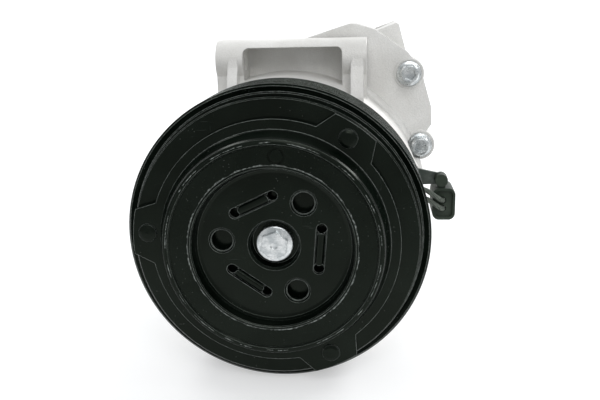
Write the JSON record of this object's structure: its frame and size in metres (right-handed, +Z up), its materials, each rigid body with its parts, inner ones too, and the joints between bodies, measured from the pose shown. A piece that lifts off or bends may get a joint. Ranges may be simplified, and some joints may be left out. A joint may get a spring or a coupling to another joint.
{
  "type": "automotive ac compressor",
  "caption": "Belt-driven car air-conditioning compressor with an electromagnetic clutch, scroll pump, two-piece cast aluminium housing, mounting lugs and port block.",
  "frame": {"origin": "on the shaft axis at the middle of the belt track's width", "axes": "+Y from the clutch face to the rear cover along the shaft, +X to the right seen from the clutch, +Z up to the upper mounting lug"},
  "size_m": [0.1468, 0.174, 0.1452],
  "materials": {
    "black_paint": "gloss black e-coat",
    "cast_alu": "die-cast, shot-blasted",
    "machined_alu": "machined",
    "zinc": "bright zinc plate",
    "bearing_steel": "ground",
    "spring_steel": "blued",
    "shaft_steel": "ground",
    "rubber": "glossy, painted over",
    "seal_rubber": "matt",
    "coil_case": "phosphated",
    "copper": "varnished copper wire",
    "wire": "grey-green insulation",
    "connector": "moulded",
    "bracket": "matt black",
    "pins": "tinned",
    "cage": "moulded",
    "bronze": "plain",
    "gasket": "fibre",
    "tip_seal": "filled polymer",
    "brass": "turned"
  },
  "bodies": {
    "housing": {"pulley_bearing_inner_race": "bearing_steel", "pulley_snap_ring": "spring_steel", "coil_housing": "coil_case", "coil_winding": "copper", "coil_snap_ring": "spring_steel", "coil_leads": "wire", "connector_body": "connector", "connector_pins": "pins", "connector_bracket": "bracket", "bracket_screw": "zinc", "shaft_seal": "seal_rubber", "seal_snap_ring": "spring_steel", "main_bearing_outer_race": "bearing_steel", "orbit_pins": "bearing_steel", "thrust_plate": "spring_steel", "fixed_scroll": "machined_alu", "fixed_tip_seal": "tip_seal", "fixed_scroll_oring": "seal_rubber", "discharge_reed": "spring_steel", "reed_stop": "spring_steel", "reed_screw": "zinc", "front_housing": "cast_alu", "housing_gasket": "gasket", "rear_housing": "cast_alu", "housing_bolts": "zinc", "suction_screen": "bearing_steel", "relief_valve": "brass", "oil_plug": "zinc", "locating_dowels": "bearing_steel"},
    "pulley": {"pulley": "black_paint", "pulley_bearing_outer_race": "bearing_steel", "pulley_bearing_seals": "seal_rubber"},
    "pulley_ball_set": {"pulley_bearing_balls": "bearing_steel", "pulley_bearing_cage": "cage"},
    "shaft": {"drive_shaft": "shaft_steel", "hub_dish": "black_paint", "gap_shims": "spring_steel", "clutch_bolt": "zinc", "main_bearing_inner_race": "bearing_steel", "counterweight": "shaft_steel", "drive_bush": "shaft_steel"},
    "armature": {"armature_plate": "black_paint", "damper_cup": "black_paint", "damper_rubber": "rubber", "clutch_rivets": "black_paint"},
    "main_ball_set": {"main_bearing_balls": "bearing_steel", "main_bearing_cage": "cage"},
    "orbiting_scroll": {"orbiting_scroll": "machined_alu", "orbit_bush": "bronze", "orbit_rings": "bearing_steel", "orbiting_tip_seal": "tip_seal"}
  },
  "joints": [
    {"name": "pulley_spin", "type": "hinge", "parent": "housing", "child": "pulley", "pos_m": [0, 0, 0], "axis": [0, 1, 0], "continuous": true},
    {"name": "pulley_balls_roll", "type": "hinge", "parent": "housing", "child": "pulley_ball_set", "pos_m": [0, 0, 0], "axis": [0, 1, 0], "continuous": true},
    {"name": "shaft_spin", "type": "hinge", "parent": "housing", "child": "shaft", "pos_m": [0, 0.03, 0], "axis": [0, 1, 0], "continuous": true},
    {"name": "main_balls_roll", "type": "hinge", "parent": "housing", "child": "main_ball_set", "pos_m": [0, 0.03, 0], "axis": [0, 1, 0], "continuous": true},
    {"name": "armature_slide", "type": "slide", "parent": "shaft", "child": "armature", "axis": [0, 1, 0], "range_m": [0, 0.00045], "stiffness_N_per_m": 20000},
    {"name": "scroll_orbit", "type": "hinge", "parent": "shaft", "child": "orbiting_scroll", "pos_m": [0, 0.045, 0.00437], "axis": [0, 1, 0], "continuous": true}
  ],
  "couplings": [
    {"joint": "pulley_balls_roll", "follows": "pulley_spin", "ratio": 0.5667},
    {"joint": "main_balls_roll", "follows": "shaft_spin", "ratio": 0.4153},
    {"joint": "scroll_orbit", "follows": "shaft_spin", "ratio": -1}
  ]
}
